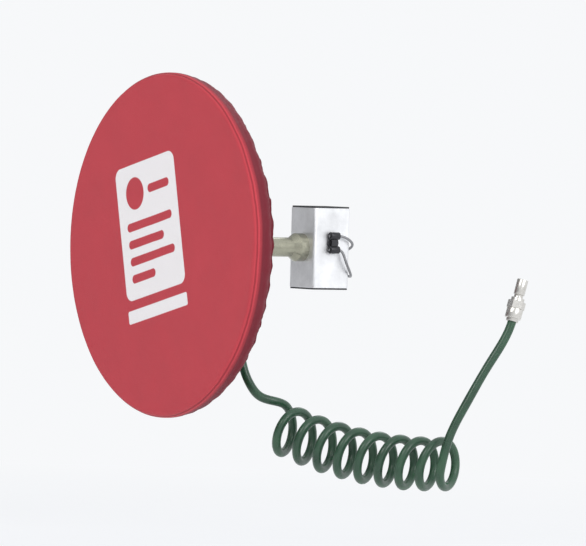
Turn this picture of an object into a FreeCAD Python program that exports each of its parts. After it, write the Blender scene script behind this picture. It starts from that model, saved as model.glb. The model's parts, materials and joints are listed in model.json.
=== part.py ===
import FreeCAD, Part
import math
import os
import Sketcher
from FreeCAD import Placement, Rotation, Vector

# Vacuum suction cup for a glazing lifter: a lipped suction pad on a ball joint,
# a sprung stem, a carrier sleeve, a vacuum hose and a fabric cover.
# Frame: Y is the stem axis and the sealing plane is y = 0. The suction face looks
# along -Y (front) and +Z runs up the square beam that the carrier sleeve slides on.
# All lengths are in millimetres.

doc = FreeCAD.newDocument("VacuumCup")
os.makedirs("parts", exist_ok=True)

# ---------------------------------------------------------- driving dimensions
# Endings: rad = radius, thk = thickness, pcd_rad = radius of a circle of screws,
# front / back = y of a face, x / y / z = place of a centre.

DIMS = [
    # suction pad
    ("lip_rad", 155.0),          # free edge of the rubber lip
    ("lip_thk", 3.0),            # rubber between the clamp ring and the plate
    ("plate_rad", 135.0),        # aluminium backing plate
    ("plate_front", 10.0),
    ("plate_thk", 6.0),
    ("boss_rad", 48.0),
    ("boss_back", 20.0),
    ("clamp_pcd_rad", 121.0),
    ("clamp_inner", 113.0),
    ("clamp_outer", 129.0),
    ("clamp_front", 3.5),
    ("clamp_shank", 2.0),        # screw shank radii
    ("flange_shank", 2.5),
    ("cap_shank", 1.5),
    ("end_shank", 1.25),
    ("pad_rad", 110.0),          # friction pad
    ("pad_front", 3.0),
    ("groove_deep", 2.0),
    ("port_x", 48.0),            # suction port in the plate
    ("port_z", -70.0),
    ("port_rad", 5.0),
    ("port_boss_high", 0.8),
    # ball joint
    ("ball_rad", 12.5),
    ("ball_y", 40.0),
    ("seat_rad", 16.0),          # outer sphere of the plastic ball seat
    ("run_gap", 0.05),           # running clearance of every bearing
    ("neck_rad", 6.5),
    ("thread_rad", 6.0),         # ball stud in the barrel floor
    ("socket_rad", 25.0),
    ("socket_back", 50.0),
    ("flange_rad", 44.0),
    ("flange_thk", 6.0),
    ("flange_pcd_rad", 36.0),
    ("cap_pcd_rad", 20.5),
    # sprung stem
    ("barrel_rad", 18.0),
    ("barrel_bore", 14.0),
    ("barrel_front", 60.0),
    ("barrel_wall", 8.0),
    ("barrel_back", 104.0),
    ("bush_front", 94.0),
    ("endcap_back", 110.0),
    ("end_pcd_rad", 15.8),
    ("rod_rad", 9.0),
    ("rod_stud_rad", 5.0),
    ("screw_rad", 3.0),          # countersunk screw, sleeve to rod
    ("screw_head_rad", 5.8),
    ("washer_rad", 13.2),
    ("washer_thk", 4.0),
    ("spring_rad", 11.6),
    ("spring_wire", 0.9),        # radius of the spring wire
    ("collar_rad", 13.0),
    # carrier
    ("sleeve_front", 154.0),
    ("sleeve_side", 40.0),
    ("sleeve_wall", 4.0),
    ("sleeve_half", 37.0),       # half the sleeve height
    ("beam_side", 30.2),         # clear square for the beam
    ("liner_deep", 12.0),
    ("liner_lip", 1.5),
    ("pin_rad", 4.0),            # beam locking pin
    ("pin_z", 5.0),
    ("bail_wire", 1.2),          # radius of the bail wire
    # cover
    ("cover_rad", 160.0),
    ("cover_front", -3.0),
    ("cover_thk", 1.0),
    ("cover_rim_rad", 6.0),      # rounding of the front rim
    ("hem_rad", 142.0),
    ("hem_y", 22.0),
    ("elastic_rad", 1.4),
    # vacuum line
    ("seal_thk", 1.2),
    ("hose_rad", 4.0),
    ("coil_rad", 21.0),
    ("coil_turns", 8.7917),
    ("elbow_y", 44.0),
    ("elbow_len", 22.0),
]

sheet = doc.addObject("Spreadsheet::Sheet", "Dims")
for row, (name, value) in enumerate(DIMS, start=1):
    sheet.set("A%d" % row, name)
    sheet.set("B%d" % row, str(value))
    sheet.setAlias("B%d" % row, name)
doc.recompute()


class Size:
    """A length that knows both its value and its spreadsheet expression."""

    def __init__(self, text, value):
        self.text = text
        self.value = value

    @staticmethod
    def of(number):
        if isinstance(number, Size):
            return number
        return Size("%.6f" % number, float(number))

    def __add__(self, other):
        other = Size.of(other)
        return Size("(%s + %s)" % (self.text, other.text), self.value + other.value)

    def __sub__(self, other):
        other = Size.of(other)
        return Size("(%s - %s)" % (self.text, other.text), self.value - other.value)

    def __mul__(self, other):
        other = Size.of(other)
        return Size("(%s * %s)" % (self.text, other.text), self.value * other.value)

    def __neg__(self):
        return Size("(0 - %s)" % self.text, -self.value)

    def bind(self, obj, path):
        """Let the sheet drive a property, unless the size is a plain number."""
        if "Dims." in self.text:
            obj.setExpression(path, self.text)


def root_diff(long_side, leg):
    """sqrt(long_side^2 - leg^2), the other leg of a right triangle."""
    long_side, leg = Size.of(long_side), Size.of(leg)
    return Size("sqrt(%s * %s - %s * %s)" % (long_side.text, long_side.text, leg.text, leg.text),
                math.sqrt(long_side.value ** 2 - leg.value ** 2))


class DrivingSizes:
    """Every row of the sheet as an attribute."""

    def __init__(self, rows):
        for name, value in rows:
            setattr(self, name, Size("Dims." + name, value))


dim = DrivingSizes(DIMS)
PARTS = []

# Faces and places shared by several pieces.
plate_back = dim.plate_front + dim.plate_thk
lip_front = dim.plate_front - dim.lip_thk
port_top = plate_back + dim.port_boss_high
clamp_seat = dim.clamp_front + 2.0       # under the clamp screw heads
flange_back = dim.boss_back + dim.flange_thk
socket_in = dim.seat_rad + dim.run_gap
seat_in = dim.ball_rad + dim.run_gap
barrel_floor = dim.barrel_front + dim.barrel_wall
end_seat = dim.barrel_back + 3.5         # under the end cap screw heads
washer_front = dim.bush_front - dim.washer_thk
wall_in = dim.sleeve_front + dim.sleeve_wall
half_side = dim.sleeve_side * 0.5
half_inner = half_side - dim.sleeve_wall
beam_y = dim.sleeve_front + half_side

CLAMP_COUNT, FLANGE_COUNT, CAP_COUNT, END_COUNT = 12, 6, 4, 4
CLEAR = 1.0             # how far outside the material a cut starts
ROOT = 0.5              # how deep ribs and bosses are sunk into the plate
CLAMP_PASS_RAD = 2.2    # screw holes through the lip and the clamp ring


# ------------------------------------------------------- sketches and features

def keep(obj, label):
    """List an object for export under its label."""
    obj.Label = label
    PARTS.append(obj)
    return obj


def new_body(label):
    return keep(doc.addObject("PartDesign::Body", label), label)


def origin_of(body, role):
    for item in body.Origin.OriginFeatures:
        if item.Role == role:
            return item
    raise RuntimeError("no origin feature " + role)


def set_size(obj, prop, size):
    size = Size.of(size)
    setattr(obj, prop, size.value)
    size.bind(obj, prop)


def constrain(sk, kind, size, *where):
    """Add a dimension constraint to sketch geometry, driven by a size."""
    index = sk.addConstraint(Sketcher.Constraint(kind, *where, size.value))
    name = "c%d" % index
    sk.renameConstraint(index, name)
    size.bind(sk, "Constraints." + name)


def minor_arc(start, end, radius, ccw):
    """The shorter arc between two points."""
    chord = end - start
    half = chord.Length / 2.0
    rise = math.sqrt(max(radius * radius - half * half, 0.0))
    turn = 1.0 if ccw else -1.0
    normal = Vector(-chord.y, chord.x, 0) * (turn / chord.Length)
    centre = (start + end) * 0.5 + normal * rise
    angle_from = math.atan2(start.y - centre.y, start.x - centre.x)
    angle_to = math.atan2(end.y - centre.y, end.x - centre.x)
    if not ccw:
        angle_from, angle_to = angle_to, angle_from
    while angle_to < angle_from:
        angle_to += 2.0 * math.pi
    circle = Part.Circle(centre, Vector(0, 0, 1), radius)
    return Part.ArcOfCircle(circle, angle_from, angle_to)


def add_loop(sk, corners):
    """A closed loop of lines and minor arcs, every corner driven by x and y.

    A corner with a third entry starts an arc of that radius to the next corner;
    its sign is positive for a counter-clockwise arc.
    """
    corners = [[Size.of(entry) for entry in corner] for corner in corners]
    spots = [Vector(corner[0].value, corner[1].value, 0) for corner in corners]
    count = len(corners)
    edges = []      # geometry index, point number at its start, at its end
    for i, corner in enumerate(corners):
        start, end = spots[i], spots[(i + 1) % count]
        ccw = len(corner) == 2 or corner[2].value > 0
        if len(corner) == 2:
            shape = Part.LineSegment(start, end)
        else:
            shape = minor_arc(start, end, abs(corner[2].value), ccw)
        first, last = (1, 2) if ccw else (2, 1)
        edges.append((sk.addGeometry(shape, False), first, last))
    for i, (edge, _, last) in enumerate(edges):
        following, first, _ = edges[(i + 1) % count]
        sk.addConstraint(Sketcher.Constraint("Coincident", edge, last, following, first))
    for (edge, first, _), corner in zip(edges, corners):
        constrain(sk, "DistanceX", corner[0], edge, first)
        constrain(sk, "DistanceY", corner[1], edge, first)
        if len(corner) == 3:
            radius = corner[2]
            constrain(sk, "Radius", radius if radius.value > 0 else -radius, edge)


def add_circle(sk, x, y, radius):
    x, y, radius = Size.of(x), Size.of(y), Size.of(radius)
    circle = Part.Circle(Vector(x.value, y.value, 0), Vector(0, 0, 1), radius.value)
    edge = sk.addGeometry(circle, False)
    constrain(sk, "DistanceX", x, edge, 3)
    constrain(sk, "DistanceY", y, edge, 3)
    constrain(sk, "Radius", radius, edge)


def sketch(body, name, plane, loops=(), circles=(), offset=0):
    """Sketch on an origin plane; circles are (x, y, radius)."""
    sk = body.newObject("Sketcher::SketchObject", name)
    sk.AttachmentSupport = (origin_of(body, plane), [""])
    sk.MapMode = "FlatFace"
    offset = Size.of(offset)
    sk.AttachmentOffset = Placement(Vector(0, 0, offset.value), Rotation())
    offset.bind(sk, "AttachmentOffset.Base.z")
    for loop in loops:
        add_loop(sk, loop)
    for circle in circles:
        add_circle(sk, *circle)
    doc.recompute()
    return sk


def turn(body, name, loops, circles=(), kind="Revolution"):
    """Full turn about the stem axis: sketch x is the radius, sketch y is y."""
    profile = sketch(body, name + "_sk", "XY_Plane", loops, circles)
    feature = body.newObject("PartDesign::" + kind, name)
    feature.Profile = profile
    feature.ReferenceAxis = (profile, ["V_Axis"])
    feature.Angle = 360.0
    doc.recompute()


def extrude(body, kind, name, profile, length):
    """Pad along the sketch normal, or Pocket against it."""
    feature = body.newObject("PartDesign::" + kind, name)
    feature.Profile = profile
    set_size(feature, "Length", length)
    doc.recompute()
    return feature


def pad_y(body, name, front, back, loops=(), circles=()):
    """Pad between two y values: the XZ plane's normal is -Y."""
    front, back = Size.of(front), Size.of(back)
    profile = sketch(body, name + "_sk", "XZ_Plane", loops, circles, -back)
    return extrude(body, "Pad", name, profile, back - front)


def drill_y(body, name, start, depth, loops=(), circles=()):
    """Pocket that starts at y = start and runs towards +Y."""
    before = body.Shape.Volume
    profile = sketch(body, name + "_sk", "XZ_Plane", loops, circles, -Size.of(start))
    cut = extrude(body, "Pocket", name, profile, depth)
    if not body.Shape.Volume < before - 1e-3:
        raise RuntimeError("pocket %s of %s removes nothing" % (name, body.Label))
    return cut


def ring_of(body, name, features, count):
    """Repeat features evenly about the stem axis."""
    pattern = body.newObject("PartDesign::PolarPattern", name)
    pattern.Originals = features
    pattern.Axis = (origin_of(body, "Y_Axis"), [""])
    pattern.Angle = 360.0
    pattern.Occurrences = count
    body.Tip = pattern
    doc.recompute()


def drill_ring(body, name, count, pcd_rad, *holes):
    """Rings of coaxial holes; each hole is (name, start y, depth, radius)."""
    cuts = [drill_y(body, hole, start, depth, circles=[(pcd_rad, 0, radius)])
            for hole, start, depth, radius in holes]
    ring_of(body, name, cuts, count)


def rectangle(left, low, right, high):
    return [(left, low), (right, low), (right, high), (left, high)]


def beam_square(half):
    """Square of the given half side about the beam axis."""
    return rectangle(-half, beam_y - half, half, beam_y + half)


def hexagon(x, y, flats):
    x, y = Size.of(x), Size.of(y)
    radius = flats / math.sqrt(3.0)
    return [(x + radius * math.cos(math.radians(60 * k)),
             y + radius * math.sin(math.radians(60 * k))) for k in range(6)]


def screw_ring(label, pcd_rad, count, seat, tip, shank_rad, head_rad, head_high,
               flats, drive_deep, head_in_front=False):
    """Identical cap screws on a circle, one solid each.

    seat is the y under the heads, tip the y of the shank ends.
    """
    body = new_body(label)
    if head_in_front:
        shank_span, head_span = (seat, tip), (seat - head_high, seat)
        drive_start = seat - head_high
    else:
        shank_span, head_span = (tip, seat), (seat, seat + head_high)
        drive_start = seat + head_high - drive_deep
    shank = pad_y(body, label + "_shank", *shank_span, circles=[(pcd_rad, 0, shank_rad)])
    head = pad_y(body, label + "_head", *head_span, circles=[(pcd_rad, 0, head_rad)])
    drive = drill_y(body, label + "_drive", drive_start, drive_deep,
                    loops=[hexagon(pcd_rad, 0, flats)])
    ring_of(body, label + "_ring", [shank, head, drive], count)


# ------------------------------------------- primitives, booleans, swept rods

X, Y, Z = Vector(1, 0, 0), Vector(0, 1, 0), Vector(0, 0, 1)


def primitive(kind, name, base, axis=Z, **sizes):
    """Part primitive whose own Z axis is turned to the given axis."""
    obj = doc.addObject("Part::" + kind, name)
    for prop, size in sizes.items():
        set_size(obj, prop, size)
    obj.Placement = Placement(base, Rotation(Z, axis))
    return obj


def cylinder(name, base, axis, radius, length):
    return primitive("Cylinder", name, base, axis, Radius=radius, Height=length)


def hex_prism(name, base, axis, corner_rad, length):
    prism = primitive("Prism", name, base, axis, Circumradius=corner_rad, Height=length)
    prism.Polygon = 6
    return prism


def fuse(name, items):
    obj = doc.addObject("Part::MultiFuse", name)
    obj.Shapes = items
    obj.Refine = True
    return obj


def keep_cut(name, base, tools):
    """Cut the tools from the base and keep the result as a piece."""
    tool = tools[0] if len(tools) == 1 else fuse(name + "_tools", tools)
    obj = doc.addObject("Part::Cut", name)
    obj.Base, obj.Tool = base, tool
    obj.Refine = True
    keep(obj, name)
    doc.recompute()


def swept_rod(points, radius, frenet=False, start_dir=None, end_dir=None):
    """Round rod on a smooth curve through points; returns it and its end direction."""
    curve = Part.BSplineCurve()
    if start_dir is not None:
        curve.interpolate(Points=points, InitialTangent=start_dir, FinalTangent=end_dir)
    else:
        curve.interpolate(points)
    edge = curve.toShape()
    start = edge.valueAt(edge.FirstParameter)
    along = edge.tangentAt(edge.FirstParameter)
    section = Part.Wire([Part.makeCircle(radius, start, along)])
    solid = Part.Wire([edge]).makePipeShell([section], True, frenet)
    return solid, edge.tangentAt(edge.LastParameter)


def keep_shape(name, shape):
    obj = doc.addObject("Part::Feature", name)
    obj.Shape = shape
    keep(obj, name)


# ---------------------------------------------------------------- suction pad

def backing_plate():
    rib_high = 4.0
    rib_start, rib_end = dim.boss_rad - 4.0, dim.plate_rad - 9.0
    half_root, half_tip = 2.5, 1.6      # half widths of the tapered rib
    boss_rad = 13.0
    body = new_body("backing_plate")
    turn(body, "plate_disc", [[
        (0, dim.plate_front), (dim.plate_rad, dim.plate_front), (dim.plate_rad, plate_back),
        (dim.boss_rad, plate_back), (dim.boss_rad, dim.boss_back), (0, dim.boss_back)]])
    rib = pad_y(body, "plate_rib", plate_back - ROOT, plate_back + rib_high, [[
        (-half_root, rib_start), (half_root, rib_start), (half_tip, rib_end), (-half_tip, rib_end)]])
    ring_of(body, "plate_ribs", [rib], 6)
    pad_y(body, "port_boss", plate_back - ROOT, port_top,
          circles=[(dim.port_x, dim.port_z, boss_rad)])
    drill_y(body, "port_hole", dim.plate_front - CLEAR, depth=12.0,
            circles=[(dim.port_x, dim.port_z, dim.port_rad)])
    drill_ring(body, "clamp_holes", CLAMP_COUNT, dim.clamp_pcd_rad,
               ("clamp_hole", dim.plate_front, 5.0, dim.clamp_shank))
    drill_ring(body, "flange_holes", FLANGE_COUNT, dim.flange_pcd_rad,
               ("flange_hole", dim.plate_front + 2.0, 9.0, dim.flange_shank))


def sealing_lip():
    """Rubber ring: clamped at its inner edge, hooked over the plate's rim."""
    inner = dim.clamp_inner - 1.0
    hook_in, hook_out = dim.plate_rad - 4.0, dim.plate_rad + 4.0
    hook_back = plate_back + 2.0
    body = new_body("sealing_lip")
    turn(body, "lip_ring", [[
        (inner, dim.plate_front), (inner, lip_front), (dim.clamp_outer + 2.0, lip_front),
        (dim.plate_rad + 2.0, 4.6), (dim.lip_rad - 4.0, 0), (dim.lip_rad, 0), (dim.lip_rad, 1.8),
        (dim.plate_rad + 7.0, 7.2), (hook_out, dim.plate_front), (hook_out, hook_back),
        (hook_in, hook_back), (hook_in, plate_back), (dim.plate_rad, plate_back),
        (dim.plate_rad, dim.plate_front)]])
    drill_ring(body, "lip_holes", CLAMP_COUNT, dim.clamp_pcd_rad,
               ("lip_hole", lip_front - CLEAR, 6.0, CLAMP_PASS_RAD))


def clamp_ring():
    start = dim.clamp_front - CLEAR
    body = new_body("clamp_ring")
    turn(body, "ring_disc", [
        rectangle(dim.clamp_inner, dim.clamp_front, dim.clamp_outer, lip_front)])
    drill_ring(body, "ring_holes", CLAMP_COUNT, dim.clamp_pcd_rad,
               ("ring_bore", start, 8.0, CLAMP_PASS_RAD),
               ("ring_sink", start, clamp_seat - start, 4.0))


def clamp_screws():
    screw_ring("clamp_screws", dim.clamp_pcd_rad, CLAMP_COUNT,
               seat=clamp_seat, tip=dim.plate_front + 4.5, shank_rad=dim.clamp_shank,
               head_rad=3.7, head_high=1.8, flats=2.5, drive_deep=1.1, head_in_front=True)


def friction_pad():
    """Disc with round grooves and radial channels in its front face."""
    groove_radii = (24.0, 42.0, 60.0, 96.0)
    groove_half = 1.2       # half width of grooves and channels
    channel_start = 26.0
    chamfer = 1.5
    port_clear_rad = 10.0
    face, groove_floor = dim.pad_front, dim.pad_front + dim.groove_deep
    outline = [(0, face)]
    for radius in groove_radii:
        near, far = radius - groove_half, radius + groove_half
        outline += [(near, face), (near, groove_floor), (far, groove_floor), (far, face)]
    outline += [(dim.pad_rad - chamfer, face), (dim.pad_rad, face + chamfer),
                (dim.pad_rad, dim.plate_front), (0, dim.plate_front)]
    body = new_body("friction_pad")
    turn(body, "pad_disc", [outline])
    channel = drill_y(body, "pad_channel", face - CLEAR, dim.groove_deep + CLEAR, [
        rectangle(-groove_half, channel_start, groove_half, dim.pad_rad + 2.0)])
    ring_of(body, "pad_channels", [channel], 6)
    drill_y(body, "pad_port", face - CLEAR, depth=12.0,
            circles=[(dim.port_x, dim.port_z, port_clear_rad)])


def filter_disc():
    """Small disc over the port, with a shallow pit in its front face."""
    disc_rad, pit_rad, pit_deep = 9.9, 7.5, 0.8
    front = dim.plate_front - 2.5
    body = new_body("filter_disc")
    pad_y(body, "filter_slab", front, dim.plate_front,
          circles=[(dim.port_x, dim.port_z, disc_rad)])
    drill_y(body, "filter_pit", front - CLEAR, pit_deep + CLEAR,
            circles=[(dim.port_x, dim.port_z, pit_rad)])


# ----------------------------------------------------------------- ball joint

SEAT_SPLIT = 0.2      # each seat half stops this far from the ball centre
COLLAR_END = 8.5      # back end of the rear seat, from the ball centre


def socket_housing():
    chamfer = 1.0
    body = new_body("socket_housing")
    turn(body, "housing_turn", [[
        (0, dim.boss_back), (dim.flange_rad, dim.boss_back),
        (dim.flange_rad, flange_back - chamfer), (dim.flange_rad - chamfer, flange_back),
        (dim.socket_rad, flange_back), (dim.socket_rad, dim.ball_y),
        (socket_in, dim.ball_y, -socket_in), (0, dim.ball_y - socket_in)]])
    drill_ring(body, "housing_holes", FLANGE_COUNT, dim.flange_pcd_rad,
               ("housing_hole", dim.boss_back - CLEAR, 8.0, 2.7))
    drill_ring(body, "tapped_holes", CAP_COUNT, dim.cap_pcd_rad,
               ("tapped_hole", dim.ball_y - 10.0, 11.0, dim.cap_shank))


def socket_cap():
    chamfer = 1.0
    mouth_rad = root_diff(socket_in, dim.socket_back - dim.ball_y)
    body = new_body("socket_cap")
    turn(body, "cap_turn", [[
        (socket_in, dim.ball_y), (dim.socket_rad, dim.ball_y),
        (dim.socket_rad, dim.socket_back - chamfer), (dim.socket_rad - chamfer, dim.socket_back),
        (mouth_rad, dim.socket_back, -socket_in)]])
    drill_ring(body, "cap_holes", CAP_COUNT, dim.cap_pcd_rad,
               ("cap_hole", dim.ball_y - CLEAR, 14.0, 1.7))


def joint_screws():
    screw_ring("cap_screws", dim.cap_pcd_rad, CAP_COUNT,
               seat=dim.socket_back, tip=dim.ball_y - 9.0, shank_rad=dim.cap_shank,
               head_rad=2.75, head_high=3.0, flats=2.5, drive_deep=1.4)
    screw_ring("housing_screws", dim.flange_pcd_rad, FLANGE_COUNT,
               seat=flange_back, tip=dim.plate_front + 2.5, shank_rad=dim.flange_shank,
               head_rad=4.25, head_high=5.0, flats=4.0, drive_deep=2.6)


def seat_front():
    y = dim.ball_y - SEAT_SPLIT
    turn(new_body("seat_front"), "seat_bowl", [[
        (root_diff(seat_in, SEAT_SPLIT), y, -seat_in), (0, dim.ball_y - seat_in),
        (0, dim.ball_y - dim.seat_rad, dim.seat_rad), (root_diff(dim.seat_rad, SEAT_SPLIT), y)]])


def seat_rear():
    front, back = dim.ball_y + SEAT_SPLIT, dim.ball_y + COLLAR_END
    turn(new_body("seat_rear"), "seat_collar", [[
        (root_diff(seat_in, SEAT_SPLIT), front),
        (root_diff(dim.seat_rad, SEAT_SPLIT), front, dim.seat_rad),
        (root_diff(dim.seat_rad, COLLAR_END), back),
        (root_diff(seat_in, COLLAR_END), back, -seat_in)]])


def ball_stud():
    chamfer = 0.8
    neck_start = dim.ball_y + root_diff(dim.ball_rad, dim.neck_rad)
    stud_end = barrel_floor - 0.2
    turn(new_body("ball_stud"), "stud_turn", [[
        (0, dim.ball_y - dim.ball_rad, dim.ball_rad), (dim.ball_rad, dim.ball_y, dim.ball_rad),
        (dim.neck_rad, neck_start), (dim.neck_rad, dim.barrel_front),
        (dim.thread_rad, dim.barrel_front), (dim.thread_rad, stud_end - chamfer),
        (dim.thread_rad - chamfer, stud_end), (0, stud_end)]])


def dust_boot():
    """Thin folded wall from the socket cap to the barrel."""
    socket, barrel, front = dim.socket_rad, dim.barrel_rad, dim.barrel_front
    skin = 1.2
    turn(new_body("dust_boot"), "boot_wall", [[
        # outer side, front to back
        (socket + skin, 42.0), (socket + skin, 48.0), (socket + 5.6, 52.0),
        (socket + 1.9, 55.5), (socket + 4.6, 59.0), (barrel + 2.8, front + 3.7),
        (barrel + skin, front + 5.2), (barrel + skin, front + 9.0),
        # inner side, back to front
        (barrel, front + 9.0), (barrel, front + 4.4), (barrel + 1.6, front + 2.6),
        (socket + 2.6, 58.6), (socket + 0.2, 55.5), (socket + 3.6, 52.0),
        (socket, 48.6), (socket, 42.0)]])


# -------------------------------------------------------- sprung stem and rod

SCREW_LAND = 0.4      # straight edge of the countersunk head


def sink_start(radius):
    """Y where the 45 degree cone of the countersunk head has this radius."""
    return wall_in - SCREW_LAND - (dim.screw_head_rad - radius)


def barrel_tube():
    chamfer = 1.0
    body = new_body("barrel_tube")
    turn(body, "tube_turn", [[
        (dim.thread_rad, dim.barrel_front), (dim.barrel_rad - chamfer, dim.barrel_front),
        (dim.barrel_rad, dim.barrel_front + chamfer), (dim.barrel_rad, dim.barrel_back),
        (dim.barrel_bore, dim.barrel_back), (dim.barrel_bore, barrel_floor),
        (dim.thread_rad, barrel_floor)]])
    drill_ring(body, "tube_taps", END_COUNT, dim.end_pcd_rad,
               ("tube_tap", dim.barrel_back - 8.0, 9.0, dim.end_shank))


def guide_bush():
    turn(new_body("guide_bush"), "bush_turn", [
        rectangle(dim.rod_rad + dim.run_gap, dim.bush_front, dim.barrel_bore, dim.barrel_back)])


def barrel_end_cap():
    chamfer = 1.5
    bore_rad = dim.rod_rad + 0.6
    body = new_body("barrel_end_cap")
    turn(body, "endcap_turn", [[
        (bore_rad, dim.barrel_back), (dim.barrel_rad, dim.barrel_back),
        (dim.barrel_rad, dim.endcap_back - chamfer), (dim.barrel_rad - chamfer, dim.endcap_back),
        (bore_rad, dim.endcap_back)]])
    drill_ring(body, "endcap_holes", END_COUNT, dim.end_pcd_rad,
               ("endcap_hole", dim.barrel_back - CLEAR, 9.0, 1.4),
               ("endcap_sink", end_seat, 5.0, 1.95))


def end_cap_screws():
    screw_ring("end_cap_screws", dim.end_pcd_rad, END_COUNT,
               seat=end_seat, tip=dim.barrel_back - 6.0, shank_rad=dim.end_shank,
               head_rad=1.85, head_high=1.8, flats=1.5, drive_deep=1.1)


def stem_rod():
    stud_front = dim.bush_front - 12.8
    cone_front, collar_front = dim.sleeve_front - 14.0, dim.sleeve_front - 8.0
    tap_deep = 18.0
    body = new_body("stem_rod")
    turn(body, "rod_turn", [[
        (0, stud_front), (dim.rod_stud_rad, stud_front), (dim.rod_stud_rad, dim.bush_front),
        (dim.rod_rad, dim.bush_front), (dim.rod_rad, cone_front), (dim.collar_rad, collar_front),
        (dim.collar_rad, dim.sleeve_front), (0, dim.sleeve_front)]])
    drill_y(body, "rod_tap", dim.sleeve_front - tap_deep, tap_deep + CLEAR,
            circles=[(0, 0, dim.screw_rad)])


def rod_screw():
    """Countersunk screw whose head ends flush with the inside of the sleeve wall."""
    tip = dim.sleeve_front - 17.0
    body = new_body("rod_screw")
    turn(body, "screw_turn", [[
        (0, tip), (dim.screw_rad, tip), (dim.screw_rad, sink_start(dim.screw_rad)),
        (dim.screw_head_rad, wall_in - SCREW_LAND), (dim.screw_head_rad, wall_in), (0, wall_in)]])
    drill_y(body, "screw_drive", wall_in - 2.2, depth=3.0, loops=[hexagon(0, 0, flats=4.0)])


def rod_nut():
    nut_high = 7.0
    pad_y(new_body("rod_nut"), "nut_hex", washer_front - nut_high, washer_front,
          loops=[hexagon(0, 0, flats=16.0)], circles=[(0, 0, dim.rod_stud_rad)])


def piston_washer():
    turn(new_body("piston_washer"), "washer_turn", [
        rectangle(dim.rod_stud_rad + dim.run_gap, washer_front, dim.washer_rad, dim.bush_front)])


def suspension_spring():
    """Coil between the barrel floor and the piston washer."""
    end_gap = 0.05
    low = barrel_floor + dim.spring_wire + end_gap
    body = new_body("suspension_spring")
    profile = sketch(body, "spring_sk", "XY_Plane",
                     circles=[(dim.spring_rad, low, dim.spring_wire)])
    helix = body.newObject("PartDesign::AdditiveHelix", "spring_helix")
    helix.Profile = profile
    helix.ReferenceAxis = (profile, ["V_Axis"])
    helix.Mode = 0      # driven by pitch and height
    helix.Pitch = 4.4
    set_size(helix, "Height", washer_front - dim.spring_wire - end_gap - low)
    doc.recompute()


# -------------------------------------------------------- carrier on the beam

def carrier_sleeve():
    corner_rad = 2.5
    screw_play = 0.3
    back = dim.sleeve_front + dim.sleeve_side
    body = new_body("carrier_sleeve")
    profile = sketch(body, "sleeve_sk", "XY_Plane", [
        rectangle(-half_side, dim.sleeve_front, half_side, back),
        rectangle(-half_inner, wall_in, half_inner, back - dim.sleeve_wall)],
        offset=-dim.sleeve_half)
    pad = extrude(body, "Pad", "sleeve_pad", profile, dim.sleeve_half * 2.0)

    # round the four outer edges along the beam
    corners = []
    for i, edge in enumerate(pad.Shape.Edges):
        start, end = edge.Vertexes[0].Point, edge.Vertexes[-1].Point
        upright = abs(start.x - end.x) < 1e-6 and abs(start.y - end.y) < 1e-6
        if upright and abs(abs(start.x) - half_side.value) < 1e-6:
            corners.append("Edge%d" % (i + 1))
    fillet = body.newObject("PartDesign::Fillet", "sleeve_corner")
    fillet.Base = (pad, corners)
    fillet.Radius = corner_rad
    doc.recompute()

    pass_rad = dim.screw_rad + screw_play
    turn(body, "screw_sink", [[
        (0, dim.sleeve_front - CLEAR), (pass_rad, dim.sleeve_front - CLEAR),
        (pass_rad, sink_start(pass_rad)), (dim.screw_head_rad, wall_in - SCREW_LAND),
        (dim.screw_head_rad, wall_in + CLEAR), (0, wall_in + CLEAR)]], kind="Groove")
    profile = sketch(body, "pin_sk", "YZ_Plane",
                     circles=[(beam_y, dim.pin_z, dim.pin_rad + dim.run_gap)],
                     offset=half_side + CLEAR)
    extrude(body, "Pocket", "pin_hole", profile, dim.sleeve_side + 2.0 * CLEAR)


def slide_liner(label, liner_low, lip_low):
    """Square liner inside a sleeve end, with a wider lip over the end face."""
    bore = beam_square(dim.beam_side * 0.5)
    body = new_body(label)
    profile = sketch(body, label + "_sk", "XY_Plane", [beam_square(half_inner), bore],
                     offset=liner_low)
    extrude(body, "Pad", label + "_pad", profile, dim.liner_deep)
    profile = sketch(body, label + "_lip_sk", "XY_Plane", [beam_square(half_side - 1.0), bore],
                     offset=lip_low)
    extrude(body, "Pad", label + "_lip", profile, dim.liner_lip)


def slide_liners():
    slide_liner("slide_liner_upper", dim.sleeve_half - dim.liner_deep, dim.sleeve_half)
    slide_liner("slide_liner_lower", -dim.sleeve_half, -dim.sleeve_half - dim.liner_lip)


def from_pin(x, y, z):
    """Point at x, with y and z measured from the pin axis."""
    return Vector(x, beam_y.value + y, dim.pin_z.value + z)


def lock_pin():
    """Straight pin across the sleeve and the beam, its head on the +X side."""
    side_x = half_side.value
    tip_reach, shaft_extra = 4.5, 8.5
    web_x, web_y, web_z = 4.6, 7.0, 12.0    # sizes of the head's flat web
    lug_x, lug_z = 23.8, 6.4                # bail lugs above and below the pin
    lug_rad, lug_len, eye_len = 3.5, 9.4, 14.0

    def cross_bars(name, radius, length):
        """A pair of Y-wise cylinders, one centred on each lug."""
        return [cylinder("%s_%d" % (name, k), from_pin(lug_x, -length / 2.0, z), Y,
                         radius, length) for k, z in enumerate((lug_z, -lug_z))]

    shaft_start = from_pin(-side_x - tip_reach, 0, 0)
    shaft = cylinder("pin_shaft", shaft_start, X, dim.pin_rad, dim.sleeve_side + shaft_extra)
    web = primitive("Box", "pin_web", from_pin(side_x + 0.3, -web_y / 2.0, -web_z / 2.0),
                    Length=web_x, Width=web_y, Height=web_z)
    flange = cylinder("pin_flange", from_pin(side_x + 0.1, 0, 0), X, radius=5.6, length=2.4)
    lugs = cross_bars("pin_lug", lug_rad, lug_len)
    tip = primitive("Cone", "pin_tip", shaft_start, -X,
                    Radius1=dim.pin_rad, Radius2=2.4, Height=3.0)
    solid = fuse("pin_solid", [shaft, web, flange, tip] + lugs)
    keep_cut("lock_pin", solid, cross_bars("pin_eye", dim.bail_wire + 0.4, eye_len))


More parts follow.
